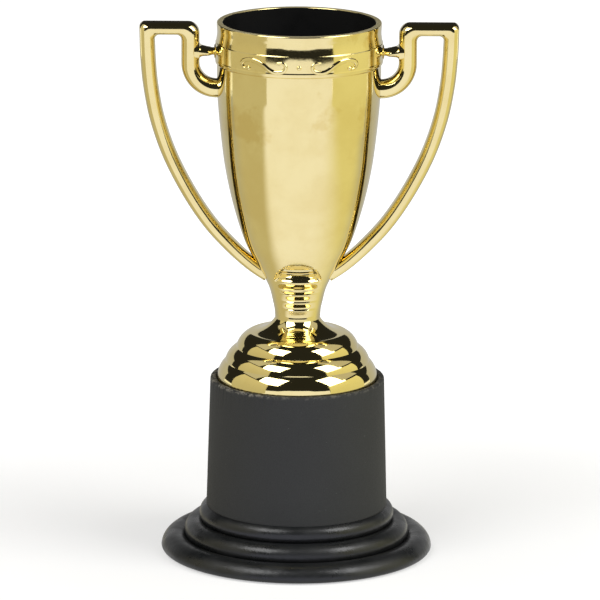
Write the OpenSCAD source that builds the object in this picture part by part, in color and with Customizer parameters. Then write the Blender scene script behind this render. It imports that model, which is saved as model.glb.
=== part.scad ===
// Small presentation cup: a gold metallised cup with two angular handles on a
// stepped foot, clamped to a black column and plinth by one threaded rod.
// The origin is the centre of the underside, +Z is up and the handles lie along X.

/* [Overall] */
// Height from the underside of the pad to the rim
total_h = 127; // [124:0.5:130]
// Width across the plinth's lowest ring
plinth_d = 64; // [60:0.5:70]

/* [Cup] */
// Outer radius of the body just below the scroll band
body_r = 19.12; // [18.8:0.02:19.4]
// Outer radius of the raised scroll band
band_r = 19.5; // [19.45:0.05:19.8]
// Thickness of the cup's wall
wall = 1.6; // [1.2:0.1:2]
// Height of the raised scroll on the band
relief = 0.3; // [0.1:0.05:0.5]

/* [Handles] */
// Reach of each handle from the cup's axis
handle_reach = 37.2; // [36.5:0.1:38]
// Depth of the handles, front to back
handle_depth = 6; // [5:0.5:8]
// Width of the long arm
arm_w = 3.6; // [3.2:0.1:4]
// Width of the short post and loop
post_w = 4.2; // [3.5:0.1:4.5]

/* [Foot] */
// Outer radius of the gold foot where it stands in the column
foot_r = 18.9; // [18:0.1:19]
// Wall of the gold foot
foot_wall = 1.5; // [1:0.1:2]

/* [Column] */
// Outer radius at the bottom
column_r = 21.35; // [21:0.05:21.6]
// Outer radius at the top
column_top_r = 20.5; // [20.4:0.05:20.8]
// Wall of the sleeve
column_wall = 2; // [1.5:0.1:2.5]

/* [Fasteners] */
// Diameter of the tie rod
rod_d = 5; // [4:0.5:5]
// Width of the nuts across their flats
nut_af = 8; // [7:0.5:8]

/* [Hidden] */
$fn = 96;
// heights of the joints between the pieces
pad_proud = 0.3;
pad_top = 1.5;
column_z = 11.1;
column_top = 42;
foot_z = 41.4;
neck_z = 56.3;
floor_z = 71.6;
band_low = total_h - 9.6;
band_high = total_h - 4.6;
rim_z = total_h;
// cup rim: the wall below the lip, the lip's outer and inner edge, and the bowl inside it
rim_r = 19.2;
lip_out_r = 18.55;
lip_in_r = 18.2;
rim_in_r = 17.4;
lip_h = 1.2;
lip_in_h = 0.9;
band_step = 0.15;
// cup floor: where the wall turns in, and the edge of the nut's pocket
floor_turn = [9.6, 73.4];
floor_edge_r = 5.6;
side_low = 74.6;
// plinth rings: radius and height where each meets the one above it
plinth_r = plinth_d / 2;
crease_low = [26.2, 3.4];
crease_high = [22.5, 7.3];
// foot rings: radius and height of the creases, and where the cove ends
foot_step_low = [17.0, 46.0];
foot_step_high = [14.4, 49.3];
foot_shoulder = [11.3, 52.9];
neck_r = 5.3;
// clearances
slack = 0.1;
glue_gap = 0.05;
// fasteners
rod_hole_r = rod_d / 2 + slack;
thread_gap = 0.02;
washer_gap = 0.15;
rod_low = 2.6;
rod_high = 68.6;
base_deck = 8.6;
washer_h = 1;
nut_h = 4;
cup_nut_z = 64;
// handle frame
handle_top = total_h - 0.2;
bar_h = 2.9;
// the arm thins by this much, on its inner side, from the top bar down to the cup
arm_taper = 0.6;
post_x = handle_reach - 14;
bracket_top = total_h - 5.7;
bracket_low = total_h - 8.1;
bracket_end = 20.3;
loop_r = 8.2;
loop_low = total_h - 17.9;
// x inside the cup's wall, where the loop is coped away
loop_end = 17;
arm_high = total_h - 6;
// pegs that hold a handle to the cup, and the bosses around the upper pair
peg_z = total_h - 7.1;
peg_r = 0.9;
peg_depth = 1.1;
boss_r = 1.35;
boss_end = bracket_end - 0.2;
tail_peg_z = 70.2;
tail_peg_r = 1;
tail_peg_in = 8.5;
tail_peg_out = 11.6;

// the cup's outside below its band, as stations of radius and height
cup_stations = [[neck_r, 55.6], [neck_r, neck_z], [5.45, 58.4], [5.85, 60.3], [6.6, 63.3],
    [7.9, 66.2], [9.9, 69.8], [12.65, 75.2], [15.3, 83.7], [17.15, 92.3],
    [18.25, 100.8], [18.95, 108.5], [body_r, 113], [body_r, 117], [body_r, 121]];
// the middle of the long arm, from the cup out to the top bar
arm_stations = [[3, 64.4], [7, 66.9], [11.3, 69.9], [16, 74.2], [20.9, 79.7], [25.7, 87],
    [30.05, 95.6], [32.95, 104.1], [34.45, 111.7], [35.1, 118], [35.35, 123.5], [35.35, 129]];

// the middle of one scroll ribbon, from its inner curl to its outer one, as x and height on the band
scroll_stations = [[6, 3.4], [5.1, 3.4], [3.8, 3.4], [3.05, 2.5], [3.8, 1.45], [5.6, 1.2],
    [7.1, 1.8], [8.3, 2.7], [9.7, 3.4], [11.2, 3.7], [12.7, 3.3], [13.25, 2.5],
    [12.8, 1.6], [11.8, 1.5], [11, 1.9]];
curl_end = [11.8, 1.65];
curl_r = 0.5;
dot_h = 2.4;
ribbon_tip = 0.2;
ribbon_swell = 0.25;

// ---------- curves ----------

// one span of a smooth curve through b and c, with neighbours a and d
function span_point(a, b, c, d, t) =
    0.5 * (2 * b + (c - a) * t + (2 * a - 5 * b + 4 * c - d) * t * t
        + (3 * b - a - 3 * c + d) * t * t * t);

// smooth curve through all stations but the first and last
function through(stations, steps) = [
    for (i = [1 : len(stations) - 3])
        for (s = [0 : steps - 1])
            span_point(stations[i - 1], stations[i], stations[i + 1], stations[i + 2], s / steps),
    stations[len(stations) - 2]];

// circular arc from p to q that stands bulge proud on the right of the way from p to q
function bulge_arc(p, q, bulge, steps = 8) =
    let (way = q - p,
        chord = norm(way),
        side = [way[1], -way[0]] / chord,
        r = (chord * chord / 4 + bulge * bulge) / (2 * bulge),
        centre = (p + q) / 2 - side * (r - bulge),
        half = asin(chord / 2 / r))
    [for (i = [0 : steps])
        let (a = half * (2 * i / steps - 1))
        centre + r * cos(a) * side + r * sin(a) * way / chord];

// unit vector to the left of the curve at point i
function left_of(points, i) =
    let (a = points[max(i - 1, 0)],
        b = points[min(i + 1, len(points) - 1)])
    [a[1] - b[1], b[0] - a[0]] / norm(b - a);

function shifted(points, by) = [for (i = [0 : len(points) - 1]) points[i] + by * left_of(points, i)];

function backwards(points) = [for (i = [len(points) - 1 : -1 : 0]) points[i]];

// corner arc of radius r at b, on the way from a to c; r = 0 keeps the corner sharp
function corner(a, b, c, r, steps = 6) =
    r == 0 ? [b] :
    let (u = (a - b) / norm(a - b),
        v = (c - b) / norm(c - b),
        half = acos(u * v) / 2,
        centre = b + (u + v) / norm(u + v) * r / sin(half),
        from = b + u * r / tan(half) - centre,
        to = b + v * r / tan(half) - centre,
        sweep = 180 - 2 * half,
        turn = from[0] * to[1] - from[1] * to[0] > 0 ? 1 : -1)
    [for (i = [0 : steps])
        let (t = turn * sweep * i / steps)
        centre + [from[0] * cos(t) - from[1] * sin(t), from[0] * sin(t) + from[1] * cos(t)]];

// closed outline whose corners are [x, y, radius]
function rounded(corners) =
    let (n = len(corners),
        at = [for (c = corners) [c[0], c[1]]])
    [for (i = [0 : n - 1])
        each corner(at[(i + n - 1) % n], at[i], at[(i + 1) % n], corners[i][2])];

function sharp(points) = [for (p = points) [p[0], p[1], 0]];

// ---------- shared solids ----------

module turned(outline) {
    rotate_extrude() polygon(outline);
}

module bore(r, low, high) {
    translate([0, 0, low]) cylinder(r = r, h = high - low);
}

module along_x(r, from, to, z) {
    translate([from, 0, z]) rotate([0, 90, 0]) cylinder(r = r, h = to - from);
}

module hex_bar(af, low, high) {
    translate([0, 0, low]) rotate(30) cylinder(r = af / 2 / cos(30), h = high - low, $fn = 6);
}

// ---------- base ----------

pad_r = 28.2;
// plinth: the flat edge it stands on, the hollow under it and the ring that centres the column
plinth_edge = 0.5;
plinth_wide_z = 0.95;
ring_bulge = 1.9;
plinth_cavity_r = 23.6;
plinth_cavity_top = 5;
plinth_deck_r = 20.4;
register_r = column_r - column_wall - 0.55;
register_wall = 1.8;
register_h = 1.9;

module base_pad() {
    color("dimgray") bore(pad_r, 0, pad_top);
}

module plinth() {
    outline = concat(
        [[pad_r + slack, pad_proud]],
        bulge_arc([plinth_r - plinth_edge, pad_proud], [plinth_r, plinth_wide_z], 0.12, 4),
        bulge_arc([plinth_r, plinth_wide_z], crease_low, ring_bulge, 10),
        bulge_arc(crease_low, crease_high, ring_bulge, 10),
        bulge_arc(crease_high, [column_r, column_z], 1, 8),
        [[register_r, column_z], [register_r, column_z + register_h],
            [register_r - register_wall, column_z + register_h], [register_r - register_wall, column_z],
            [rod_hole_r, column_z], [rod_hole_r, base_deck], [plinth_deck_r, base_deck],
            [plinth_deck_r, plinth_cavity_top], [plinth_cavity_r, plinth_cavity_top],
            [plinth_cavity_r, pad_top], [pad_r + slack, pad_top]]);
    color([0.13, 0.13, 0.14]) turned(outline);
}

// column: its deck, the recess that the foot stands in and the rounded top edge
deck = 2.2;
lip_r = foot_r + 0.25;
edge = 0.45;
// how far a quarter circle stands proud of its chord, over its radius
quarter_bulge = 0.29;

module column() {
    outline = concat(
        [[column_r - column_wall, column_z], [column_r, column_z]],
        bulge_arc([column_top_r, column_top - edge], [column_top_r - edge, column_top],
            edge * quarter_bulge, 4),
        [[lip_r, column_top], [lip_r, foot_z], [rod_hole_r, foot_z], [rod_hole_r, foot_z - deck],
            [column_top_r - column_wall, foot_z - deck]]);
    color([0.2, 0.2, 0.21]) turned(outline);
}

// ---------- foot ----------

// the boss inside the foot, and how far the inside lies below each crease
foot_boss_r = 5.4;
foot_roof = 1.6;
shoulder_inset = [2.6, 1.9];
high_inset = [foot_wall + 0.2, 0.9];
low_inset = [foot_wall + 0.1, 0.6];

module stepped_foot() {
    outline = concat(
        [[foot_r - foot_wall, foot_z]],
        bulge_arc([foot_r, foot_z], foot_step_low, 0.55, 8),
        bulge_arc(foot_step_low, foot_step_high, 0.5, 8),
        bulge_arc(foot_step_high, foot_shoulder, 0.6, 8),
        bulge_arc(foot_shoulder, [neck_r, neck_z], -0.9, 10),
        [[rod_hole_r, neck_z], [rod_hole_r, foot_z], [foot_boss_r, foot_z],
            [foot_boss_r, foot_shoulder[1] - foot_roof], foot_shoulder - shoulder_inset,
            foot_step_high - high_inset, foot_step_low - low_inset]);
    color("gold") turned(outline);
}

// ---------- cup ----------

cup_side = [for (p = through(cup_stations, 3)) if (p[1] < band_low - 2 * band_step) p];

// outside of the cup from the neck to the rim, grown by gap
function cup_outside(gap) = concat(
    [for (p = cup_side) p + [gap, 0]],
    [[body_r + gap, band_low - band_step], [band_r + gap, band_low + band_step],
        [band_r + gap, band_high - band_step], [band_r - band_step + gap, band_high + band_step],
        [rim_r + gap, rim_z - lip_h]]);

function lip() = bulge_arc([rim_r, rim_z - lip_h], [lip_out_r, rim_z], 0.2, 6);

// inside of the cup from the rim down to its floor
function cup_inside() = concat(
    bulge_arc([lip_in_r, rim_z], [rim_in_r, rim_z - lip_in_h], 0.2, 5),
    [for (p = backwards(cup_side)) if (p[1] > side_low) [p[0] - wall, p[1]]],
    bulge_arc(floor_turn, [floor_edge_r, floor_z], -0.6, 5));

module cup_envelope(gap) {
    turned(concat([[0, neck_z]], cup_outside(gap), [[0, rim_z]]));
}

// the raised ribbon of the band, a wave that ends in two curls, swollen in the middle
function ribbon_half_width(i, n) = ribbon_tip + ribbon_swell * sin(180 * i / (n - 1));

module scroll_ribbon() {
    line = through(scroll_stations, 3);
    n = len(line);
    polygon(concat(
        [for (i = [0 : n - 1]) line[i] + ribbon_half_width(i, n) * left_of(line, i)],
        [for (i = [n - 1 : -1 : 0]) line[i] - ribbon_half_width(i, n) * left_of(line, i)]));
}

// a mirrored pair of ribbons with a dot between them, on the front and on the back
module scroll_relief() {
    intersection() {
        difference() {
            bore(band_r + relief, band_low, band_high);
            bore(band_r - relief, band_low - 1, band_high + 1);
        }
        for (facing = [0, 180]) rotate([0, 0, facing])
            translate([0, 0, band_low]) rotate([90, 0, 0]) linear_extrude(height = band_r + wall) {
                for (side = [0, 1]) mirror([side, 0, 0]) {
                    scroll_ribbon();
                    translate(curl_end) circle(r = curl_r);
                }
                translate([0, dot_h]) circle(r = curl_r);
            }
    }
}

module cup_bowl() {
    color("gold") difference() {
        union() {
            turned(concat([[0, neck_z]], cup_outside(0), lip(), cup_inside(), [[0, floor_z]]));
            for (side = [0, 1]) mirror([side, 0, 0])
                along_x(boss_r, band_r - wall / 2, boss_end, peg_z);
            scroll_relief();
        }
        bore(rod_hole_r, neck_z - 1, floor_z + 1);
        hex_bar(nut_af + 2 * slack, cup_nut_z, floor_z + 1);
        for (side = [0, 1]) mirror([side, 0, 0]) {
            along_x(peg_r + glue_gap, band_r - peg_depth - glue_gap, bracket_end, peg_z);
            along_x(tail_peg_r + glue_gap, tail_peg_in - glue_gap, tail_peg_out, tail_peg_z);
        }
    }
}

// ---------- handles ----------

arm_middle = through(arm_stations, 4);
arm_run = [for (p = arm_middle) if (p[1] < arm_high) p];

arm_inside = let (last = len(arm_run) - 1) [for (i = [0 : last])
    arm_run[i] + (arm_w / 2 - arm_taper * (1 - i / last)) * left_of(arm_run, i)];

function handle_outline() = rounded(concat(
    sharp(shifted(arm_run, -arm_w / 2)),
    [[handle_reach, handle_top, 1.2],
        [post_x, handle_top, 2.6],
        [post_x, bracket_top, 0.9],
        [bracket_end, bracket_top - 0.5, 0.6],
        [bracket_end, bracket_low + 0.2, 0.5],
        [post_x, bracket_low, 0.9],
        [post_x, loop_low + post_w, loop_r - post_w],
        [loop_end, loop_low + post_w, 0],
        [loop_end, loop_low, 0],
        [post_x + post_w, loop_low, loop_r],
        [post_x + post_w, handle_top - bar_h, 1.2],
        [handle_reach - arm_w, handle_top - bar_h, 1.1]],
    sharp(backwards(arm_inside))));

module handle_solid() {
    difference() {
        translate([0, handle_depth / 2, 0]) rotate([90, 0, 0])
            linear_extrude(height = handle_depth) polygon(handle_outline());
        cup_envelope(glue_gap);
    }
    along_x(peg_r, band_r - peg_depth, bracket_end + 1, peg_z);
    along_x(tail_peg_r, tail_peg_in, tail_peg_out, tail_peg_z);
}

module right_handle() {
    color("gold") handle_solid();
}

module left_handle() {
    color("gold") mirror([1, 0, 0]) handle_solid();
}

// ---------- fasteners ----------

module tie_rod() {
    color("silver") bore(rod_d / 2, rod_low, rod_high);
}

module hex_nut(low) {
    color("silver") difference() {
        hex_bar(nut_af, low, low + nut_h);
        bore(rod_d / 2 + thread_gap, low - 1, low + nut_h + 1);
    }
}

module cup_nut() {
    hex_nut(cup_nut_z);
}

module base_washer() {
    color("silver") difference() {
        bore(rod_d, base_deck - washer_h, base_deck);
        bore(rod_d / 2 + washer_gap, base_deck - washer_h - 1, base_deck + 1);
    }
}

module base_nut() {
    hex_nut(base_deck - washer_h - nut_h);
}

base_pad();
plinth();
column();
stepped_foot();
cup_bowl();
left_handle();
right_handle();
tie_rod();
cup_nut();
base_washer();
base_nut();
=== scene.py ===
"""Looks of the small gold cup trophy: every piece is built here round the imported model, in metres."""

import math

import bmesh
import bpy
import numpy as np
from mathutils import Matrix, Vector, noise


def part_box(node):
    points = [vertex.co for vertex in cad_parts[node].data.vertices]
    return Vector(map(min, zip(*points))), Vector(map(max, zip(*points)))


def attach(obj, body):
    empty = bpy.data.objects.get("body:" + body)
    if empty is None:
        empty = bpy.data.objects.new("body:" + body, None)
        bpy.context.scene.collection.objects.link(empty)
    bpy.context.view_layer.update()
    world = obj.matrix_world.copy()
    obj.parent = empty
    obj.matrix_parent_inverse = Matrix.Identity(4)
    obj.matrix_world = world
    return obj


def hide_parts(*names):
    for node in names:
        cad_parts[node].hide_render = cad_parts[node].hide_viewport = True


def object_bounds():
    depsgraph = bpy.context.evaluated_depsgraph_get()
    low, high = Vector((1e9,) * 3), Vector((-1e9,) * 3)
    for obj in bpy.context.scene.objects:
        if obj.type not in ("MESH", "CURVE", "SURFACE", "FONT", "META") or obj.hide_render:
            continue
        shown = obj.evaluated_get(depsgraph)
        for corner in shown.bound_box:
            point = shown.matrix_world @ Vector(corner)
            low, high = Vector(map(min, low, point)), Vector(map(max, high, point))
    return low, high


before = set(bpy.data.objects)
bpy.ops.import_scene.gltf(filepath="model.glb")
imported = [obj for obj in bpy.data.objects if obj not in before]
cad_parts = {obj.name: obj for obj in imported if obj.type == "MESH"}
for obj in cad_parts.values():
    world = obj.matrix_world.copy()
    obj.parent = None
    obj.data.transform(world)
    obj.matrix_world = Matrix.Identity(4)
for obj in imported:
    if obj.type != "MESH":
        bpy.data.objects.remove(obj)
CAD_LOW, CAD_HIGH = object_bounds()

# All outlines below are drawn in millimetres at the design height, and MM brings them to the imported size.
DESIGN_H = 127.0
MM = (CAD_HIGH.z - CAD_LOW.z) / DESIGN_H

scene = bpy.context.scene

# ---------- curves, in the plane of radius (or x) and height ----------


def through(stations, steps):
    """Smooth curve through all stations but the first and last."""
    p = np.array(stations, float)
    line = []
    for a, b, c, d in zip(p, p[1:], p[2:], p[3:]):
        for t in np.arange(steps) / steps:
            line.append(0.5 * (2 * b + (c - a) * t + (2 * a - 5 * b + 4 * c - d) * t ** 2
                               + (3 * b - a - 3 * c + d) * t ** 3))
    return line + [p[-2]]


def bulge_arc(p, q, bulge, steps):
    """Circular arc from p to q, bulge proud on the right of the way from p to q."""
    p, q = np.array(p, float), np.array(q, float)
    way = q - p
    chord = math.hypot(*way)
    side = np.array([way[1], -way[0]]) / chord
    r = (chord ** 2 / 4 + bulge ** 2) / (2 * bulge)
    centre = (p + q) / 2 - side * (r - bulge)
    half = math.asin(chord / 2 / r)
    turns = half * (2 * np.arange(steps + 1) / steps - 1)
    return [centre + r * math.cos(a) * side + r * math.sin(a) * way / chord for a in turns]


def corner_arc(a, b, c, r, steps):
    """Arc of radius r that rounds the corner b, on the way from a to c."""
    a, b, c = (np.array(v, float) for v in (a, b, c))
    u = (a - b) / math.hypot(*(a - b))
    v = (c - b) / math.hypot(*(c - b))
    half = math.acos(max(-1.0, min(1.0, float(u @ v)))) / 2
    centre = b + (u + v) / math.hypot(*(u + v)) * r / math.sin(half)
    start = b + u * r / math.tan(half) - centre
    end = b + v * r / math.tan(half) - centre
    sweep = math.pi - 2 * half
    turn = 1 if start[0] * end[1] - start[1] * end[0] > 0 else -1
    angles = turn * sweep * np.arange(steps + 1) / steps
    return [centre + np.array([start[0] * math.cos(t) - start[1] * math.sin(t),
                               start[0] * math.sin(t) + start[1] * math.cos(t)]) for t in angles]


def rounded(corners, steps=6):
    """Closed outline whose corners are (x, y, radius); a radius of 0 keeps the corner sharp."""
    line = []
    count = len(corners)
    for i, (x, y, r) in enumerate(corners):
        before, after = corners[i - 1][:2], corners[(i + 1) % count][:2]
        line += corner_arc(before, (x, y), after, r, steps) if r else [np.array([x, y], float)]
    return line


def eased(p, q, steps):
    """Soft step from p to q: it leaves and arrives along the height."""
    t = np.arange(steps + 1) / steps
    ease = (1 - np.cos(np.pi * t)) / 2
    return [np.array([p[0] + (q[0] - p[0]) * e, p[1] + (q[1] - p[1]) * s]) for e, s in zip(ease, t)]


def normals_of(line):
    """Unit vectors to the left of an open line, at each of its points."""
    p = np.array(line, float)
    way = np.gradient(p, axis=0)
    side = np.stack([-way[:, 1], way[:, 0]], axis=1)
    return side / np.linalg.norm(side, axis=1)[:, None]


# ---------- meshes ----------

# points closer than this are one point, and edges shorter than TINY are dropped
SAME, TINY = 1e-4, 1e-5


def tidy_line(line):
    """The outline without points that repeat the one before."""
    kept = [np.array(line[0], float)]
    for p in line[1:]:
        if math.hypot(*(np.array(p) - kept[-1])) > SAME:
            kept.append(np.array(p, float))
    if math.hypot(*(kept[0] - kept[-1])) < SAME:
        kept.pop()
    return kept


def grid_faces(rows, columns, wrap_rows, wrap_columns):
    """Quads of a grid of points stored row by row."""
    faces = []
    for i in range(rows if wrap_rows else rows - 1):
        for j in range(columns if wrap_columns else columns - 1):
            k, m = (i + 1) % rows, (j + 1) % columns
            faces.append((i * columns + j, i * columns + m, k * columns + m, k * columns + j))
    return faces


def turned(outline, steps=256):
    """Closed outline of (radius, height) turned about Z."""
    line = tidy_line(outline)
    angles = 2 * math.pi * np.arange(steps) / steps
    points = [(r * math.cos(a), r * math.sin(a), z) for r, z in line for a in angles]
    return points, grid_faces(len(line), steps, True, True)


def build(name, parts, material, replaced, crease=32.0):
    """One visible piece from lists of (points, faces) in the outlines' unit. It rides on the root body."""
    mesh = bpy.data.meshes.new(name)
    bm = bmesh.new()
    for points, faces in parts:
        verts = [bm.verts.new((x * MM, y * MM, z * MM)) for x, y, z in points]
        for face in faces:
            bm.faces.new([verts[i] for i in face])
    bmesh.ops.remove_doubles(bm, verts=bm.verts, dist=SAME * MM)
    bmesh.ops.dissolve_degenerate(bm, edges=bm.edges, dist=TINY * MM)
    bmesh.ops.recalc_face_normals(bm, faces=bm.faces)
    bm.to_mesh(mesh)
    bm.free()
    mesh.shade_smooth()
    mesh.set_sharp_from_angle(angle=math.radians(crease))
    piece = bpy.data.objects.new(name, mesh)
    scene.collection.objects.link(piece)
    mesh.materials.append(material)
    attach(piece, "root")
    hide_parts(*replaced)
    return piece


# ---------- materials ----------

# the colour sockets of a Mix node, which share their names with its number sockets
MIX_A, MIX_B, MIX_OUT = 6, 7, 2


class Nodes:
    """Short way to fill a material's node tree."""

    def __init__(self, name):
        """A new material, with the place on the object in metres as its coordinate."""
        self.material = bpy.data.materials.new(name)
        self.material.use_nodes = True
        self.tree = self.material.node_tree
        self.shader = self.tree.nodes["Principled BSDF"]
        self.place = self.node("ShaderNodeTexCoord").outputs["Object"]

    def node(self, kind, **settings):
        made = self.tree.nodes.new(kind)
        for key, value in settings.items():
            setattr(made, key, value)
        return made

    def link(self, source, target):
        self.tree.links.new(source, target)

    def noise(self, size, detail=3.0, rough=0.55, stretch=(1, 1, 1)):
        """Noise whose features are about size metres across."""
        mapping = self.node("ShaderNodeMapping")
        mapping.inputs["Scale"].default_value = tuple(s / size for s in stretch)
        self.link(self.place, mapping.inputs["Vector"])
        made = self.node("ShaderNodeTexNoise")
        made.inputs["Scale"].default_value = 1.0
        made.inputs["Detail"].default_value = detail
        made.inputs["Roughness"].default_value = rough
        self.link(mapping.outputs["Vector"], made.inputs["Vector"])
        return made.outputs["Fac"]

    def ranged(self, value, low, high, out_low, out_high):
        """Value carried from low..high to out_low..out_high, smoothly and clamped."""
        made = self.node("ShaderNodeMapRange", interpolation_type="SMOOTHSTEP")
        for key, number in (("From Min", low), ("From Max", high), ("To Min", out_low), ("To Max", out_high)):
            made.inputs[key].default_value = number
        self.link(value, made.inputs["Value"])
        return made.outputs["Result"]

    def along(self, axis):
        """How far along X, Y or Z the surface lies, in metres."""
        split = self.node("ShaderNodeSeparateXYZ")
        self.link(self.place, split.inputs["Vector"])
        return split.outputs[axis]

    def math(self, operation, a, b):
        """A sum on two values, each a number or another node's output."""
        made = self.node("ShaderNodeMath", operation=operation)
        for socket, value in zip(made.inputs, (a, b)):
            if isinstance(value, (int, float)):
                socket.default_value = value
            else:
                self.link(value, socket)
        return made.outputs[0]

    def mixed(self, factor, a, b):
        """Colour between a and b, each a colour or another node's output."""
        made = self.node("ShaderNodeMix", data_type="RGBA")
        self.link(factor, made.inputs["Factor"])
        for socket, value in ((made.inputs[MIX_A], a), (made.inputs[MIX_B], b)):
            if isinstance(value, tuple):
                socket.default_value = (*value, 1.0)
            else:
                self.link(value, socket)
        return made.outputs[MIX_OUT]

    def bump(self, layers):
        """Stacked bumps, each (height, depth in metres, strength)."""
        below = None
        for height, depth, strength in layers:
            made = self.node("ShaderNodeBump")
            made.inputs["Strength"].default_value = strength
            made.inputs["Distance"].default_value = depth
            self.link(height, made.inputs["Height"])
            if below is not None:
                self.link(below, made.inputs["Normal"])
            below = made.outputs["Normal"]
        self.link(below, self.shader.inputs["Normal"])

    def glow(self, colour, strength):
        """Makes a surface that shines evenly and mirrors nothing."""
        self.set(Base_Color=(0.0, 0.0, 0.0), Specular_IOR_Level=0.0, Emission_Color=colour,
                 Emission_Strength=strength)

    def set(self, **values):
        """Shader sockets by name, with _ for a space; each takes a constant or another node's output."""
        for key, value in values.items():
            socket = self.shader.inputs[key.replace("_", " ")]
            if isinstance(value, (int, float, tuple)):
                socket.default_value = (*value, 1.0) if isinstance(value, tuple) else value
            else:
                self.link(value, socket)


GOLD_PALE, GOLD_WARM = (0.85, 0.72, 0.33), (0.80, 0.66, 0.28)
GOLD_MARK, GOLD_STAIN, GOLD_RUBBED = (0.70, 0.55, 0.25), (0.70, 0.53, 0.17), (0.80, 0.70, 0.40)


def gold(name, sheen_rough, ripple, lip=None):
    """Metallised plastic under clear lacquer: a bright mirror with faint ripples, clouding and handling
    marks. With a lip, a height in metres, it is stained for some way below that and rubbed dull above it."""
    n = Nodes(name)
    cloud = n.noise(0.009, detail=4.0)
    fine = n.noise(0.0009, detail=5.0)
    marks = n.noise(0.0022, detail=6.0, rough=0.7, stretch=(1, 1, 0.25))
    colour = n.mixed(n.ranged(cloud, 0.35, 0.7, 0.0, 1.0), GOLD_PALE, GOLD_WARM)
    colour = n.mixed(n.ranged(marks, 0.72, 0.8, 0.0, 0.35), colour, GOLD_MARK)
    rough = n.math("ADD", n.ranged(cloud, 0.35, 0.7, sheen_rough * 0.8, sheen_rough * 1.25),
                   n.ranged(marks, 0.6, 0.8, 0.0, 0.05))
    metal = 1.0
    if lip:
        stain = n.ranged(n.noise(0.011, detail=5.0, rough=0.6), 0.58, 0.68, 0.0, 0.5)
        stain_low, stain_full, rub_blend = 0.05, 0.02, 0.00005
        high = n.ranged(n.along("Z"), lip - stain_low, lip - stain_full, 0.0, 1.0)
        colour = n.mixed(n.math("MULTIPLY", stain, high), colour, GOLD_STAIN)
        rubbed = n.ranged(n.along("Z"), lip - rub_blend, lip, 0.0, 1.0)
        colour = n.mixed(rubbed, colour, GOLD_RUBBED)
        rough = n.math("ADD", rough, n.math("MULTIPLY", rubbed, 0.25))
        metal = n.math("SUBTRACT", 1.0, n.math("MULTIPLY", rubbed, 0.35))
    n.set(Base_Color=colour, Metallic=metal, Roughness=rough, Coat_Weight=0.25, Coat_Roughness=0.05)
    n.bump([(cloud, 0.0009, ripple), (fine, 0.00003, 0.12)])
    return n.material


def bare_plastic(name):
    """The unplated inside of the cup: near-black plastic with faint mould texture."""
    n = Nodes(name)
    grain = n.noise(0.0004, detail=4.0)
    cloud = n.noise(0.006)
    n.set(Base_Color=n.mixed(cloud, (0.003, 0.003, 0.003), (0.006, 0.006, 0.006)),
          Roughness=n.ranged(cloud, 0.3, 0.7, 0.55, 0.75), Specular_IOR_Level=0.15)
    n.bump([(grain, 0.00004, 0.4)])
    return n.material


def worn_edge(n, height, band, amount):
    """Up to amount where the surface is within band metres of height, broken up by noise."""
    near = n.ranged(n.math("ABSOLUTE", n.math("SUBTRACT", n.along("Z"), height), 0.0), 0.0, band, 1.0, 0.0)
    broken = n.ranged(n.noise(0.0012, detail=6.0, rough=0.7), 0.46, 0.62, 0.0, amount)
    return n.math("MULTIPLY", near, broken)


def column_plastic():
    """Matt moulded sleeve: fine grain, dust specks and a scuffed whitish lip, most of it at the left."""
    n = Nodes("column_black")
    grain = n.noise(0.00022, detail=5.0, rough=0.7)
    cloud = n.noise(0.012, detail=4.0)
    dust = n.noise(0.0006, detail=2.0)
    colour = n.mixed(cloud, (0.0160, 0.0168, 0.0163), (0.0215, 0.0225, 0.0218))
    colour = n.mixed(n.ranged(dust, 0.72, 0.8, 0.0, 0.35), colour, (0.14, 0.14, 0.13))
    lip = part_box("column")[1].z
    patch = n.ranged(n.along("X"), -0.012, -0.004, 1.0, 0.35)
    worn = n.math("MULTIPLY", worn_edge(n, lip, 0.0009, 0.8), patch)
    colour = n.mixed(worn, colour, (0.26, 0.24, 0.20))
    n.set(Base_Color=colour, Roughness=n.ranged(grain, 0.3, 0.7, 0.62, 0.8), Specular_IOR_Level=0.4)
    n.bump([(cloud, 0.0004, 0.08), (grain, 0.00006, 0.45)])
    return n.material


def plinth_plastic():
    """Semi-gloss moulded base: soft sheen, rubbed streaks round the rings and fine scratches."""
    n = Nodes("plinth_black")
    grain = n.noise(0.0005, detail=5.0, rough=0.65)
    cloud = n.noise(0.007, detail=5.0, rough=0.6)
    scratch = n.noise(0.0016, detail=8.0, rough=0.8, stretch=(1, 1, 6))
    colour = n.mixed(cloud, (0.004, 0.0046, 0.005), (0.010, 0.011, 0.0118))
    colour = n.mixed(n.ranged(scratch, 0.70, 0.78, 0.0, 0.4), colour, (0.10, 0.10, 0.10))
    n.set(Base_Color=colour, Roughness=n.ranged(cloud, 0.3, 0.7, 0.24, 0.44), Specular_IOR_Level=0.45)
    n.bump([(cloud, 0.0008, 0.22), (grain, 0.00005, 0.35)])
    return n.material


def zinc(name):
    """Bright zinc on steel, slightly cloudy."""
    n = Nodes(name)
    cloud = n.noise(0.002, detail=5.0)
    n.set(Base_Color=n.mixed(cloud, (0.55, 0.56, 0.58), (0.68, 0.68, 0.69)), Metallic=1.0,
          Roughness=n.ranged(cloud, 0.3, 0.7, 0.22, 0.38))
    n.bump([(n.noise(0.0003), 0.00002, 0.3)])
    return n.material


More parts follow.
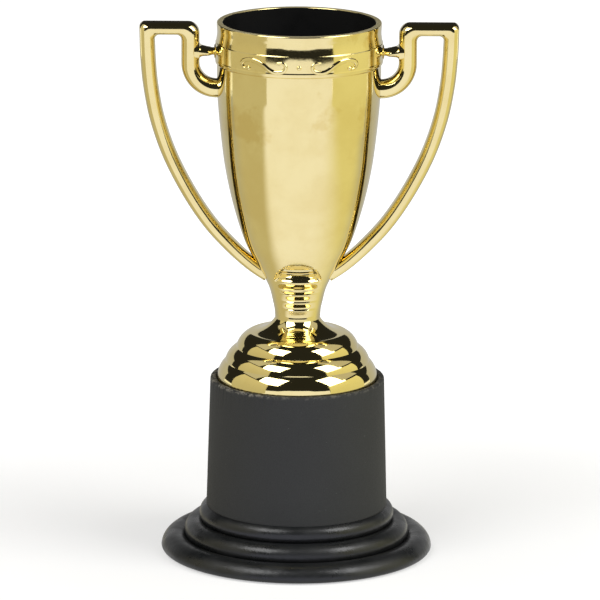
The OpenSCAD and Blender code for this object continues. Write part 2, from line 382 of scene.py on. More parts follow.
def felt():
    """Pressed black felt: matted fibres with a soft fuzz."""
    n = Nodes("felt_black")
    fibre = n.noise(0.0005, detail=8.0, rough=0.8, stretch=(1, 2.5, 1))
    cross = n.noise(0.0006, detail=8.0, rough=0.8, stretch=(2.5, 1, 1))
    both = n.math("MAXIMUM", fibre, cross)
    colour = n.mixed(n.ranged(both, 0.4, 0.75, 0.0, 1.0), (0.010, 0.010, 0.011), (0.055, 0.055, 0.058))
    n.set(Base_Color=colour, Roughness=n.ranged(both, 0.4, 0.7, 0.85, 1.0),
          Sheen_Weight=0.3, Sheen_Roughness=0.6)
    n.bump([(both, 0.0003, 0.8)])
    return n.material


# ---------- outlines of the turned pieces ----------

# radius and height of each joint between the pieces
NECK = (5.3, 56.3)
COLUMN_FOOT = (21.35, 11.1)
COLUMN_TOP = (20.5, 42.0)
FOOT_SEAT = (18.9, 41.4)
# the cup's body and the scroll band round it
BAND_LOW, BAND_HIGH = 117.4, 122.4
BODY_R, BAND_R = 19.12, 19.5
RIM_Z = DESIGN_H
WALL = 1.6
# the rod runs through every floor and deck, up into a pocket for its nut under the cup's floor
ROD_HOLE_R = 2.6
POCKET_R, POCKET_LOW, POCKET_TOP = 4.75, 64.0, 71.6
# the underside of the plinth's deck, and the felt's recess
DECK_Z = 8.6
PAD_RECESS_R, PAD_H = 28.3, 1.5

CUP_STATIONS = [(5.3, 55.6), NECK, (5.45, 58.4), (5.85, 60.3), (6.6, 63.3), (7.9, 66.2), (9.9, 69.8),
                (12.65, 75.2), (15.3, 83.7), (17.15, 92.3), (18.25, 100.8), (18.95, 108.5),
                (BODY_R, 113), (BODY_R, 117), (BODY_R, 121)]
# points lie close together up the ringed neck and wider apart above it
NECK_TOP = 73.0
CUP_SIDE = [p for i, p in enumerate(through(CUP_STATIONS, 20))
            if p[1] < BAND_LOW - 0.3 and (p[1] < NECK_TOP or i % 3 == 0)]
# the inner wall follows the outer one down to a rounded floor round the pocket
INSIDE_LOW = 74.6
CUP_INSIDE = ([p - (WALL, 0) for p in reversed(CUP_SIDE) if p[1] > INSIDE_LOW]
              + bulge_arc((9.6, 73.4), (5.6, POCKET_TOP), -0.6, 8))

# the rim band is slightly coved up to a flat-topped lip
RIM_STATIONS = [(19.4, 121.8), (19.35, 122.5), (19.17, 123.7), (19.1, 124.7), (19.17, 125.8), (19.2, 126.65),
                (19.2, 127.4)]
LIP_OUT_R, LIP_IN_R = 19.2, 17.8
LIP_INSIDE = bulge_arc((LIP_IN_R + 0.3, RIM_Z), (LIP_IN_R, RIM_Z - 0.4), 0.1, 8)

# the ringed stem that shows in an arched recess, on the front and the back of the neck
# each station is a depth below the neck's own wall, and a height
STEM_STATIONS = [(0, 55.5), (0, 56.3), (0.02, 56.9), (0.17, 57.4), (0.04, 58.6), (0.04, 59.0),
                 (0.36, 59.6), (0.18, 60.9), (0.44, 61.4), (0.18, 62.85), (0.42, 63.3), (0.28, 63.9),
                 (0.5, 64.35), (0.15, 65.5), (0.15, 66.2), (0.85, 66.9), (1.17, 67.3), (1.8, 67.9),
                 (2.2, 68.4), (1.25, 69.2), (1.5, 69.65), (0.4, 71.2), (0, 72), (0, 73)]
# everything nearer the axis than this belongs to the pocket or the rod's hole
STEM_KEEP_R = 4.8
# the arch's top is down by ARCH_DROP at ARCH_TURN degrees to either side
ARCH_TOP, ARCH_DROP, ARCH_TURN, ARCH_SOFT = 71.2, 3.4, 37, 0.4
# degrees to either side at which the rings and the collar over them have ended, and the width of their fading
RINGS_END, RINGS_FADE = 56, 40
COLLAR_END, COLLAR_FADE = 45, 8
COLLAR_LOW, COLLAR_SOFT = 65.6, 0.7


def cup_radius(z):
    """Outer radius of the cup at a height."""
    line = np.array(CUP_SIDE + [(BODY_R, BAND_LOW - 0.15), (BAND_R, BAND_LOW + 0.15), (BAND_R, BAND_HIGH)])
    return float(np.interp(z, line[:, 1], line[:, 0]))


def cup_outline():
    """The cup's wall with its soft band steps and its rounded lip; the inside drops to the nut's pocket."""
    return (CUP_SIDE
            + eased((BODY_R, BAND_LOW - 0.25), (BAND_R, BAND_LOW + 0.15), 8)
            + eased((BAND_R, BAND_LOW + 0.35), (BAND_R + 0.07, BAND_LOW + 0.65), 5)
            + eased((BAND_R + 0.07, BAND_LOW + 0.75), (BAND_R, BAND_LOW + 1.15), 6)
            + eased((BAND_R, BAND_HIGH - 0.15), (BAND_R - 0.15, BAND_HIGH + 0.1), 6)
            + through(RIM_STATIONS, 8)
            + bulge_arc((LIP_OUT_R, RIM_Z - 0.35), (LIP_OUT_R - 0.35, RIM_Z), 0.1, 8)
            + [np.array((LIP_IN_R + 0.6, RIM_Z)), np.array((LIP_IN_R + 0.4, RIM_Z))]
            + LIP_INSIDE
            + CUP_INSIDE
            + [np.array(p) for p in ((POCKET_R, POCKET_TOP), (POCKET_R, POCKET_LOW), (ROD_HOLE_R, POCKET_LOW),
                                     (ROD_HOLE_R, NECK[1]))])


def soft_step(t):
    """0 below 0, 1 above 1 and smooth between."""
    t = max(0.0, min(1.0, t))
    return t * t * (3 - 2 * t)


def with_stem(part):
    """The cup's wall with the recess: inside the arch the neck takes the stem's radius."""
    points, faces = part
    stem = np.array(through(STEM_STATIONS, 10))
    out = []
    for x, y, z in points:
        r = math.hypot(x, y)
        if NECK[1] < z < ARCH_TOP and r > STEM_KEEP_R:
            turn = abs(math.degrees(math.atan2(x, abs(y))))
            under_arch = soft_step((ARCH_TOP - ARCH_DROP * (turn / ARCH_TURN) ** 2 - z) / ARCH_SOFT)
            rings = soft_step((RINGS_END - turn) / RINGS_FADE)
            collar = soft_step((COLLAR_END - turn) / COLLAR_FADE)
            side = rings + (collar - rings) * soft_step((z - COLLAR_LOW) / COLLAR_SOFT)
            scale = 1 - under_arch * side * float(np.interp(z, stem[:, 1], stem[:, 0])) / r
            x, y = x * scale, y * scale
        out.append((x, y, z))
    return out, faces


def lining_outline():
    """The bare inside: a skin on the cup's inner wall, from just under the lip to the pocket's edge."""
    proud, sunk = 0.05, 0.02
    under_lip = 5
    inside = LIP_INSIDE[under_lip:] + CUP_INSIDE
    side = normals_of(inside)
    return ([p - proud * n for p, n in zip(inside, side)]
            + [p + sunk * n for p, n in reversed(list(zip(inside, side)))])


def foot_outline():
    """Three rounded rings under a cove, with a straight skirt inside."""
    wall, hub_r, seat_z = 1.5, 5.4, FOOT_SEAT[1]
    first, second, third = (17.0, 46.0), (14.4, 49.3), (11.3, 52.9)
    return (bulge_arc(FOOT_SEAT, first, 0.55, 20)
            + bulge_arc(first, second, 0.5, 20)
            + bulge_arc(second, third, 0.6, 20)
            + bulge_arc(third, NECK, -0.9, 24)
            + [np.array(p) for p in ((ROD_HOLE_R, NECK[1]), (ROD_HOLE_R, seat_z), (hub_r, seat_z),
                                     (hub_r, 51.3), (8.7, 51.0), (12.7, 48.4), (15.4, 45.4),
                                     (FOOT_SEAT[0] - wall, seat_z))])


def column_outline():
    """Drafted sleeve with a deck that the foot stands on."""
    edge, wall, deck, seat_z = 0.45, 2.0, 2.2, FOOT_SEAT[1]
    top_r, top = COLUMN_TOP
    low, high = np.array(COLUMN_FOOT), np.array((top_r, top - edge))
    return ([low - (wall, 0)]
            + [low + (high - low) * t for t in np.linspace(0, 1, 12)]
            + bulge_arc((top_r, top - edge), (top_r - edge, top), edge * 0.29, 6)
            + [np.array(p) for p in ((19.5, top), (19.2, top - 0.1), (19.15, seat_z), (ROD_HOLE_R, seat_z),
                                     (ROD_HOLE_R, seat_z - deck), (top_r - wall, seat_z - deck))])


def plinth_outline():
    """Three rounded rings, hollow underneath, with a register ring that centres the column."""
    low, under_deck, pad_ledge_r = 0.3, 5.0, 23.6
    register_out, register_in, register_top, deck_top = 18.8, 17.0, 13.0, COLUMN_FOOT[1]
    edge, first, second = (32.0, 0.95), (26.2, 3.4), (22.5, 7.3)
    return (bulge_arc((31.5, low), edge, 0.12, 6)
            + bulge_arc(edge, first, 1.9, 24)
            + bulge_arc(first, second, 1.9, 24)
            + bulge_arc(second, COLUMN_FOOT, 1.0, 20)
            + [np.array(p) for p in ((register_out, deck_top), (register_out, register_top),
                                     (register_in, register_top), (register_in, deck_top),
                                     (ROD_HOLE_R, deck_top), (ROD_HOLE_R, DECK_Z), (20.4, DECK_Z),
                                     (20.4, under_deck), (pad_ledge_r, under_deck), (pad_ledge_r, PAD_H),
                                     (PAD_RECESS_R, PAD_H), (PAD_RECESS_R, low))])


# ---------- camera, floor and light ----------

# glow of the cards and walls of the light tent
FRONT_GLOW = (1.04, 1.05, 1.22)
LEFT_GLOW = (0.62, 0.575, 0.42)
RIGHT_GLOW = (0.84, 0.80, 0.48)
BACK_GLOW = (0.50, 0.50, 0.50)
SLOPE_GLOW = (0.62, 0.60, 0.55)
CARD_WHITE = (1.0, 1.0, 1.0)
STUDIO_DARK, STUDIO_WHITE = (0.022, 0.022, 0.022, 1), (1, 1, 1, 1)
# each soft line on the floor card: its side (1 is +X), the degrees it is turned to the back, the distances in
# metres from the cup's axis where its colour starts and is full, and that colour
FLOOR_FADES = ((-1, 46, 0.0, 0.045, LEFT_GLOW),
               (1, 40, -0.03, 0.12, RIGHT_GLOW),
               (1, 90, 0.0, 0.14, BACK_GLOW))

# where the camera stands and aims, in the outlines' unit, its lens in millimetres and its roll in radians
CAMERA_PLACE = (0.0, -1259.5, 368.7)
CAMERA_AIM = (0.54, 0.0, 60.4)
CAMERA_LENS = 330.9
CAMERA_SENSOR = 36.0
CAMERA_ROLL = 0.0061


def facing(place, aim):
    """Matrix of a camera or light that stands at place and points at aim."""
    place, aim = Vector(place), Vector(aim)
    return Matrix.Translation(place) @ (aim - place).to_track_quat("-Z", "Y").to_matrix().to_4x4()


def make_camera():
    """Long lens in front of the cup and a little above it."""
    data = bpy.data.cameras.new("camera")
    camera = bpy.data.objects.new("camera", data)
    scene.collection.objects.link(camera)
    turn = Matrix.Rotation(CAMERA_ROLL, 4, "Z")
    camera.matrix_world = facing(Vector(CAMERA_PLACE) * MM, Vector(CAMERA_AIM) * MM) @ turn
    data.lens = CAMERA_LENS
    data.sensor_width = CAMERA_SENSOR
    data.clip_end = 20.0
    scene.camera = camera


def softbox(name, azimuth, elevation, across, radiance):
    """Light seen from the foot at that azimuth, where 0 is the front and it grows to +X. It is across degrees
    wide and high."""
    distance, aim = 0.9, Vector((0, 0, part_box("stepped_foot")[0].z))
    data = bpy.data.lights.new(name, "AREA")
    data.shape = "RECTANGLE"
    data.size, data.size_y = (2 * distance * math.tan(math.radians(a / 2)) for a in across)
    data.energy = math.pi * data.size * data.size_y * radiance
    light = bpy.data.objects.new(name, data)
    scene.collection.objects.link(light)
    a, e = math.radians(azimuth), math.radians(elevation)
    toward = Vector((math.sin(a) * math.cos(e), -math.cos(a) * math.cos(e), math.sin(e)))
    light.matrix_world = facing(aim + distance * toward, aim)
    light.visible_camera = False


def plain(name, points, faces, nodes):
    """Object of plain faces in metres, for the studio."""
    mesh = bpy.data.meshes.new(name)
    mesh.from_pydata(points, [], faces)
    mesh.materials.append(nodes.material)
    item = bpy.data.objects.new(name, mesh)
    scene.collection.objects.link(item)
    return item


def stage_panel(name, corners, colour, low, high=None):
    """Plain glowing card that the gold mirrors, unseen by the camera. Its glow goes from low at the floor to
    high at its top."""
    n = Nodes(name)
    strength = low
    if high:
        strength = n.ranged(n.along("Z"), 0.0, max(z for x, y, z in corners), low, high)
    n.glow(colour, strength)
    panel = plain(name, corners, [tuple(range(len(corners)))], n)
    panel.visible_camera = False
    panel.visible_shadow = False


def upright(start, end, top):
    """Corners of a card that stands on the floor between two points."""
    (x0, y0), (x1, y1) = start, end
    return [(x0, y0, 0.0), (x1, y1, 0.0), (x1, y1, top), (x0, y0, top)]


def floor_card():
    """Ring of glowing card on the floor round the plinth, unseen by the camera: cream in front, and past a
    soft line to each side it takes that side wall's colour."""
    near, far, around, lift = 0.036, 0.5, 64, 0.0006
    points = [(r * math.cos(2 * math.pi * i / around), r * math.sin(2 * math.pi * i / around), lift)
              for r in (near, far) for i in range(around)]
    n = Nodes("floor_card")
    colour = n.node("ShaderNodeRGB").outputs[0]
    colour.default_value = (*FRONT_GLOW, 1.0)
    for side, azimuth, start, end, past in FLOOR_FADES:
        a = math.radians(azimuth)
        across = n.node("ShaderNodeVectorMath", operation="DOT_PRODUCT")
        n.link(n.place, across.inputs[0])
        across.inputs[1].default_value = (side * math.cos(a), math.sin(a), 0.0)
        colour = n.mixed(n.ranged(across.outputs["Value"], start, end, 0.0, 1.0), colour, past)
    n.glow(colour, 1.0)
    card = plain("floor_card", points, grid_faces(2, around, False, True), n)
    card.visible_camera = False
    card.visible_diffuse = False
    card.visible_shadow = False


def make_floor():
    """Pale matt floor that glows, turning white away from the plinth. Its glow is lowered near the plinth, a
    painted shade round the plinth's foot, added to the real shadow the plinth casts on it.
    """
    size, near, far, painted_shade_glow, far_glow = 3.0, 0.03, 0.3, 0.5, 0.98
    corners = [(-size, -size, 0), (size, -size, 0), (size, size, 0), (-size, size, 0)]
    n = Nodes("floor_white")
    reach = n.node("ShaderNodeVectorMath", operation="LENGTH")
    n.link(n.place, reach.inputs[0])
    # the glow is weaker near the plinth than far out: painted shade round the plinth's foot
    n.set(Base_Color=(0.5, 0.5, 0.5), Roughness=0.9, Specular_IOR_Level=0.0, Emission_Color=(1.0, 1.0, 1.0),
          Emission_Strength=n.ranged(reach.outputs["Value"], near, far, painted_shade_glow, far_glow))
    floor = plain("floor", corners, [(0, 1, 2, 3)], n)


def make_world():
    """White to the eye, and dark to the pieces above the floor, as a studio is between its lights."""
    world = bpy.data.worlds.new("studio")
    scene.world = world
    world.use_nodes = True
    tree = world.node_tree
    back = tree.nodes["Background"]
    path = tree.nodes.new("ShaderNodeLightPath")
    mix = tree.nodes.new("ShaderNodeMix")
    mix.data_type = "RGBA"
    mix.inputs[MIX_A].default_value = STUDIO_DARK
    mix.inputs[MIX_B].default_value = STUDIO_WHITE
    tree.links.new(path.outputs["Is Camera Ray"], mix.inputs["Factor"])
    tree.links.new(mix.outputs[MIX_OUT], back.inputs["Color"])
    back.inputs["Strength"].default_value = 1.0


def light_studio():
    """Light tent: two softboxes shine over low pale side walls, with a card in front and one behind."""
    wall_x, slope_in, slope_top = 0.30, 0.13, 0.43
    softbox("softbox_left", -47, 48, (30, 30), 6.0)
    softbox("softbox_right", 66, 42, (30, 36), 6.0)
    stage_panel("wall_left", upright((-wall_x, -0.30), (-wall_x, 0.08), 0.30), LEFT_GLOW, 1.0, 1.2)
    stage_panel("wall_right", upright((wall_x, -0.28), (wall_x, 0.10), 0.22), RIGHT_GLOW, 1.0, 1.15)
    for side, name, foot in ((-1, "slope_left", 0.32), (1, "slope_right", 0.25)):
        stage_panel(name, [(side * wall_x, -0.07, foot), (side * wall_x, 0.14, foot),
                           (side * slope_in, 0.10, slope_top), (side * slope_in, -0.02, slope_top)],
                    SLOPE_GLOW, 1.0)
    floor_card()
    # the front card is higher in the middle
    front_y = -0.34
    front = [(-0.36, 0.0), (0.36, 0.0), (0.36, 0.103), (0.17, 0.105), (0.09, 0.127), (-0.09, 0.127),
             (-0.17, 0.105), (-0.36, 0.103)]
    stage_panel("card_front", [(x, front_y, z) for x, z in front], FRONT_GLOW, 1.0)
    stage_panel("card_back", upright((-0.35, 0.25), (0.35, 0.25), 0.15), CARD_WHITE, 0.55)


# ---------- handles ----------

HANDLE_REACH = 37.2
HANDLE_TOP = 126.8
HANDLE_DEPTH = 6.0
BAR_H = 2.9
# the arm thins, on its inner side, by ARM_TAPER towards the cup
ARM_W, ARM_TAPER, POST_W = 3.6, 0.6, 4.2
POST_X = HANDLE_REACH - 14
# the rounding of a bar's edges across and into its depth; thicker bars are rounder across
EDGE_ACROSS, EDGE_DEEP, EDGE_GROWS = 1.2, 2.1, 0.65
LOOP_LOW, LOOP_END = 109.1, 15.0
BRACKET_TOP, BRACKET_LOW, BRACKET_END = 121.3, 118.9, 21.3
BRACKET_FALL, BRACKET_FLARE = 0.5, 0.9
BRACKET_ROOT, BRACKET_RISE = 1.2, 0.1
TONGUE, TONGUE_PINCH = 2.6, 0.62
PEG_Z, PEG_R, PEG_IN = 119.9, 0.9, 18.4
BOSS_R, BOSS_IN = 2.0, 18.7
# the arm's middle line; above ARM_STOP the bar runs straight to its first corner
ARM_STOP = 121.2
ARM_STATIONS = [(3, 64.4), (7, 66.9), (11.3, 69.9), (16, 74.2), (20.9, 79.7), (25.7, 87), (30.05, 95.6),
                (32.95, 104.1), (34.45, 111.7), (35.1, 118), (35.35, 123.5), (35.35, 129)]


def bar_section(left, right, thickness):
    """Rounded rectangle across a bar, between its left and right side; thickness is the bar's own."""
    left, right = np.array(left), np.array(right)
    width = math.hypot(*(right - left))
    along = (right - left) / width
    across = EDGE_ACROSS + EDGE_GROWS * max(0.0, thickness - BAR_H)
    rx, ry = min(across * width / thickness, width * 0.49), EDGE_DEEP
    ring = []
    half_w, half_d = width / 2, HANDLE_DEPTH / 2
    for k, (sx, sy) in enumerate(((1, 1), (-1, 1), (-1, -1), (1, -1))):
        for t in np.linspace(0, math.pi / 2, 8):
            a = t + k * math.pi / 2
            ring.append((sx * (half_w - rx) + rx * math.cos(a), sy * (half_d - ry) + ry * math.sin(a)))
    middle = (left + right) / 2
    return [(middle[0] + u * along[0], v, middle[1] + u * along[1]) for u, v in ring]


def between(p, q, steps):
    """Points strictly between p and q."""
    p, q = np.array(p, float), np.array(q, float)
    return [p + (q - p) * i / steps for i in range(1, steps)]


def handle_sides():
    """The two sides of the bent bar, paired point by point, from the arm's tail round to the loop's end."""
    arm = [p for p in through(ARM_STATIONS, 8) if p[1] < ARM_STOP]
    side = normals_of(arm)
    outer = [p - ARM_W / 2 * n for p, n in zip(arm, side)]
    thin = ARM_TAPER * np.linspace(1, 0, len(arm))
    inner = [p + (ARM_W / 2 - t) * n for p, n, t in zip(arm, side, thin)]
    thick = [ARM_W - t for t in thin]
    # each turn: the outer corner and its radius, the inner corner and its radius, the bar's thickness after
    # it, the steps round it and the steps of the straight run before it
    turns = ((HANDLE_REACH, HANDLE_TOP, 1.2, HANDLE_REACH - ARM_W, HANDLE_TOP - BAR_H, 1.1, BAR_H, 10, 12),
             (POST_X, HANDLE_TOP, 2.6, POST_X + POST_W, HANDLE_TOP - BAR_H, 1.2, POST_W, 14, 6),
             (POST_X, LOOP_LOW + POST_W, 4.0, POST_X + POST_W, LOOP_LOW, 8.2, POST_W, 28, 6))
    ends = ((LOOP_END, LOOP_LOW + POST_W), (LOOP_END, LOOP_LOW))
    for i, (ox, oz, outer_r, ix, iz, inner_r, after, steps, run) in enumerate(turns):
        next_outer = turns[i + 1][:2] if i < 2 else ends[0]
        next_inner = turns[i + 1][3:5] if i < 2 else ends[1]
        outer_arc = corner_arc(outer[-1], (ox, oz), next_outer, outer_r, steps)
        inner_arc = corner_arc(inner[-1], (ix, iz), next_inner, inner_r, steps)
        outer += between(outer[-1], outer_arc[0], run) + outer_arc
        inner += between(inner[-1], inner_arc[0], run) + inner_arc
        thick += [thick[-1]] * (run - 1) + list(np.linspace(thick[-1], after, steps + 1))
    outer += between(outer[-1], ends[0], 8) + [np.array(ends[0])]
    inner += between(inner[-1], ends[1], 8) + [np.array(ends[1])]
    thick += [POST_W] * 8
    return outer, inner, thick


def coped(sections, gap=0.02):
    """Sections whose points inside the cup are brought back along the bar to the cup's surface."""
    rows = np.array(sections)

    def outside(p):
        return math.hypot(p[0], p[1]) - cup_radius(p[2]) - gap

    for j in range(rows.shape[1]):
        line = rows[:, j].copy()
        clear = [outside(p) > 0 for p in line]
        for order in (range(len(line)), range(len(line) - 1, -1, -1)):
            order = list(order)
            first = next(i for i in order if clear[i])
            if first == order[0]:
                continue
            step = 1 if order[1] > order[0] else -1
            a, b = line[first - step], line[first]
            for halving in range(30):
                m = (a + b) / 2
                a, b = (a, m) if outside(m) > 0 else (m, b)
            for i in order[:order.index(first)]:
                rows[i, j] = b
    return rows


def swept(sections):
    """Closed bar through rings of points, with a fan over each end."""
    rows = np.array(sections)
    count, ring = rows.shape[:2]
    points = [tuple(p) for p in rows.reshape(-1, 3)]
    faces = grid_faces(count, ring, False, True)
    for row in (0, count - 1):
        middle = len(points)
        points.append(tuple(rows[row].mean(axis=0)))
        faces += [(row * ring + j, row * ring + (j + 1) % ring, middle) for j in range(ring)]
    return points, faces


def handle_parts():
    """The bent bar and the short bracket that ties its post to the cup."""
    outer, inner, thick = handle_sides()
    bar = coped([bar_section(o, i, t) for o, i, t in zip(outer, inner, thick)])
    end_top, end_low = (BRACKET_END, BRACKET_TOP - BRACKET_FALL), (BRACKET_END, BRACKET_LOW + BRACKET_RISE)
    root_x, up = POST_X + BRACKET_ROOT, 3
    top = [(root_x, BRACKET_TOP + BRACKET_FLARE)] + corner_arc(
        (POST_X, BRACKET_TOP + up), (POST_X, BRACKET_TOP), end_top, BRACKET_FLARE, 8)
    low = [(root_x, BRACKET_LOW - BRACKET_FLARE)] + corner_arc(
        (POST_X, BRACKET_LOW - up), (POST_X, BRACKET_LOW), (BRACKET_END, BRACKET_LOW), BRACKET_FLARE, 8)
    top += between(top[-1], end_top, 8)
    low += between(low[-1], end_low, 8)
    thickness = BRACKET_TOP - BRACKET_LOW
    sections = [bar_section(t, b, thickness) for t, b in zip(top, low)]
    # past its end the bracket necks down to the tongue that enters the cup
    for t in np.linspace(0.1, 1, 9):
        pinch = 1 - TONGUE_PINCH * math.sin(t * math.pi / 2) ** 2
        ring = np.array(bar_section(end_top, end_low, thickness))
        ring[:, 0] = BRACKET_END - TONGUE * t
        ring[:, 1] *= pinch
        ring[:, 2] = PEG_Z + (ring[:, 2] - PEG_Z) * pinch
        sections.append([tuple(p) for p in ring])
    return [swept(bar), swept(coped(sections))]


def along_x(outline, steps=48):
    """Closed outline of (radius, x) turned about the peg's line, which runs along X through the bracket."""
    points, faces = turned(outline, steps)
    return [(z, y, PEG_Z + x) for x, y, z in points], faces


def peg():
    """The round peg inside the joint of the bracket and the cup."""
    return along_x([(0.0, PEG_IN), (PEG_R, PEG_IN), (PEG_R, BRACKET_END), (0.0, BRACKET_END)])


def boss():
    """The low turned boss on the cup's band that the bracket's tongue meets."""
    hole_r = PEG_R + 0.02
    dome = bulge_arc((BOSS_R, 19.2), (hole_r, 19.75), 0.25, 8)
    return along_x([(hole_r, BOSS_IN), (BOSS_R, BOSS_IN)] + dome)


def mirrored(part):
    """The same part on the other side of the cup."""
    points, faces = part
    return [(-x, y, z) for x, y, z in points], faces


# ---------- scrolls on the band ----------

SCROLL_STATIONS = [(6, 3.4), (5.1, 3.4), (3.8, 3.4), (3.05, 2.5), (3.8, 1.45), (5.6, 1.2), (7.1, 1.8),
                   (8.3, 2.7), (9.7, 3.4), (11.2, 3.7), (12.7, 3.3), (13.25, 2.5), (12.8, 1.6),
                   (11.8, 1.5), (11, 1.9)]
CURL_END = (11.8, 1.65)
DOT = (0.0, 2.4)
RELIEF = 0.34
# half the ribbon's width at its ends and what it gains in the middle; it is lower where it is thinner than
# RIBBON_FULL
RIBBON_END, RIBBON_SWELL, RIBBON_FULL, RIBBON_SUNK = 0.24, 0.36, 0.4, 0.15
BEAD_RELIEF = RELIEF * 1.1


def on_band(x, up, proud):
    """Point on the band's front, x across, up from its lower edge and proud of its face."""
    r = BAND_R + proud
    return (x, -math.sqrt(r * r - x * x), BAND_LOW + up)


def scroll_ribbon():
    """One raised ribbon with a domed section, swollen in the middle."""
    line = through(SCROLL_STATIONS, 8)
    side = normals_of(line)
    sections = []
    for i, (p, n) in enumerate(zip(line, side)):
        half = RIBBON_END + RIBBON_SWELL * math.sin(math.pi * i / (len(line) - 1))
        height = RELIEF * min(1.0, half / RIBBON_FULL)
        ring = []
        for a in np.linspace(0, math.pi, 9):
            at = p + n * half * math.cos(a)
            ring.append(on_band(at[0], at[1], height * math.sin(a)))
        for u in (-0.8, 0.8):
            at = p + n * half * u
            ring.append(on_band(at[0], at[1], -RIBBON_SUNK))
        sections.append(ring)
    return swept(sections)


def bead(x, up, r=0.55):
    """Small dome on the band."""
    rings = []
    for a in np.linspace(-0.4, math.pi / 2 - 0.01, 9):
        ring = []
        reach, proud = r * math.cos(a), BEAD_RELIEF * math.sin(a)
        for t in 2 * math.pi * np.arange(20) / 20:
            ring.append(on_band(x + reach * math.cos(t), up + reach * math.sin(t), proud))
        rings.append(ring)
    return swept(rings)


def scrolls():
    """On the front and the back, a scroll to each side of a dot."""
    one = [scroll_ribbon(), bead(*CURL_END)]
    front = one + [mirrored(part) for part in one] + [bead(*DOT)]
    back = [([(-x, -y, z) for x, y, z in points], faces) for points, faces in front]
    return front + back


# ---------- fasteners and felt ----------

ROD_R = 2.5
ROD_LOW, ROD_HIGH = 2.6, 68.6
NUT_AF, NUT_H = 8.0, 4.0
WASHER_R, WASHER_H = 5.0, 1.0


def threaded_rod(pitch=0.8, around=36, per_turn=6):
    """Rod with a helical thread, chamfered at both ends."""
    rows = int((ROD_HIGH - ROD_LOW) / pitch * per_turn)
    depth, chamfer = 0.42, 0.6
    points = []
    for i in range(rows + 1):
        z = ROD_LOW + (ROD_HIGH - ROD_LOW) * i / rows
        cap = ROD_R - chamfer + min(z - ROD_LOW, ROD_HIGH - z)
        for j in range(around):
            phase = (z / pitch - j / around) % 1.0
            r = min(ROD_R - depth * abs(2 * phase - 1), cap)
            a = 2 * math.pi * j / around
            points.append((r * math.cos(a), r * math.sin(a), z))
    faces = grid_faces(rows + 1, around, False, True)
    for row, z in ((0, ROD_LOW), (rows, ROD_HIGH)):
        faces += [(row * around + j, row * around + (j + 1) % around, len(points)) for j in range(around)]
        points.append((0, 0, z))
    return points, faces


def hex_nut(low, around=96):
    """Hex nut whose corners are chamfered by a cone on both faces."""
    flat = NUT_AF / 2
    start = flat * 0.96
    slope = math.tan(math.radians(30))
    bore_r, mouth_r, mouth_drop = ROD_R + 0.02, ROD_R + 0.35, 0.3
    columns = []
    for j in range(around):
        a = 2 * math.pi * (j + 0.5) / around
        reach = flat / math.cos((a + math.pi / 6) % (math.pi / 3) - math.pi / 6)
        drop = max(0.0, reach - start) * slope
        section = ((bore_r, mouth_drop), (mouth_r, 0.0), (start, 0.0), (reach, drop), (reach, NUT_H - drop),
                   (start, NUT_H), (mouth_r, NUT_H), (bore_r, NUT_H - mouth_drop))
        columns.append([(r * math.sin(a), r * math.cos(a), low + z) for r, z in section])
    points = [p for ring in zip(*columns) for p in ring]
    return points, grid_faces(len(columns[0]), around, True, True)


def washer():
    """Flat washer, pressed against the plinth's deck from below."""
    edge, hole_r = 0.15, ROD_R + 0.15
    low, high = DECK_Z - WASHER_H, DECK_Z
    return turned(rounded([(hole_r, low, edge), (WASHER_R, low, edge), (WASHER_R, high, edge),
                           (hole_r, high, edge)], 3), 96)


def felt_disc():
    """Punched felt disc with a slightly furred edge."""
    pad_r, middle_r = PAD_RECESS_R - 0.1, 0.02
    edge = [(pad_r - 0.25, 0.0), (pad_r - 0.05, 0.12), (pad_r, 0.4), (pad_r, 1.2), (pad_r - 0.1, PAD_H)]
    points, faces = turned([(middle_r, 0.0), (9, 0.0), (18, 0.0), (26, 0.0)] + edge
                           + [(14, PAD_H), (middle_r, PAD_H)], 192)
    furred = []
    for x, y, z in points:
        r = math.hypot(x, y)
        if r > pad_r - 0.7:
            shrink = 1 - 0.004 * abs(noise.noise(Vector((x, y, z)) * 1.7))
            x, y = x * shrink, y * shrink
        furred.append((x, y, z))
    return furred, faces


# ---------- the pieces ----------


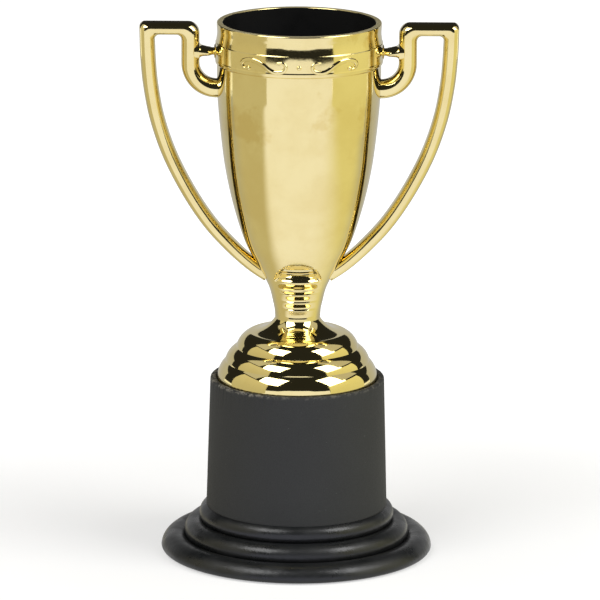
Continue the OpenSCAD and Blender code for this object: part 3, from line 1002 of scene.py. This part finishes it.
def frayed(part):
    """The column with its upper edge chipped: noise pulls the rim in and down, most at the front left."""
    points, faces = part
    worst, rim_low, rim_in = math.radians(232), COLUMN_TOP[1] - 0.5, 19.3
    least, most, grain = 0.03, 0.32, 1.1
    out = []
    for x, y, z in points:
        r = math.hypot(x, y)
        if z > rim_low and r > rim_in:
            patch = max(0.0, math.cos(math.atan2(y, x) - worst)) ** 6
            chip = noise.fractal(Vector((x * grain, y * grain, z * grain)), 0.6, 2.2, 4)
            cut = (least + most * patch) * max(0.0, chip)
            scale = (r - cut) / r
            x, y, z = x * scale, y * scale, z - cut * 0.7
        out.append((x, y, z))
    return out, faces


def make_pieces():
    """Every visible piece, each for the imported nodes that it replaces."""
    lip = CAD_HIGH.z - 0.08 * MM
    cup_gold = gold("gold_cup", sheen_rough=0.085, ripple=0.03, lip=lip)
    handle_gold = gold("gold_handles", sheen_rough=0.07, ripple=0.02)
    foot_gold = gold("gold_foot", sheen_rough=0.05, ripple=0.02)
    steel = zinc("bright_zinc")
    build("cup_wall", [with_stem(turned(cup_outline(), 320))], cup_gold, ["cup_bowl"])
    build("cup_scrolls", scrolls(), cup_gold, ["cup_bowl"], crease=60.0)
    build("cup_bosses", [boss(), mirrored(boss())], cup_gold, ["cup_bowl"])
    build("cup_inside", [turned(lining_outline(), 256)], bare_plastic("cup_inside_black"),
          ["cup_bowl"])
    parts = handle_parts() + [peg()]
    build("handle_right", parts, handle_gold, ["right_handle"])
    build("handle_left", [mirrored(part) for part in parts], handle_gold, ["left_handle"])
    build("ringed_foot", [turned(foot_outline(), 320)], foot_gold, ["stepped_foot"])
    sleeve = frayed(turned(column_outline(), 512))
    build("black_column", [sleeve], column_plastic(), ["column"])
    build("black_plinth", [turned(plinth_outline(), 320)], plinth_plastic(), ["plinth"])
    build("threaded_rod", [threaded_rod()], steel, ["tie_rod"], crease=60.0)
    build("nut_in_cup", [hex_nut(POCKET_LOW)], steel, ["cup_nut"])
    build("nut_under_deck", [hex_nut(DECK_Z - WASHER_H - NUT_H)], steel, ["base_nut"])
    build("flat_washer", [washer()], steel, ["base_washer"])
    pad = build("felt_pad", [felt_disc()], felt(), ["base_pad"])


make_camera()
make_floor()
make_world()
light_studio()
make_pieces()

scene.view_settings.view_transform = "Standard"
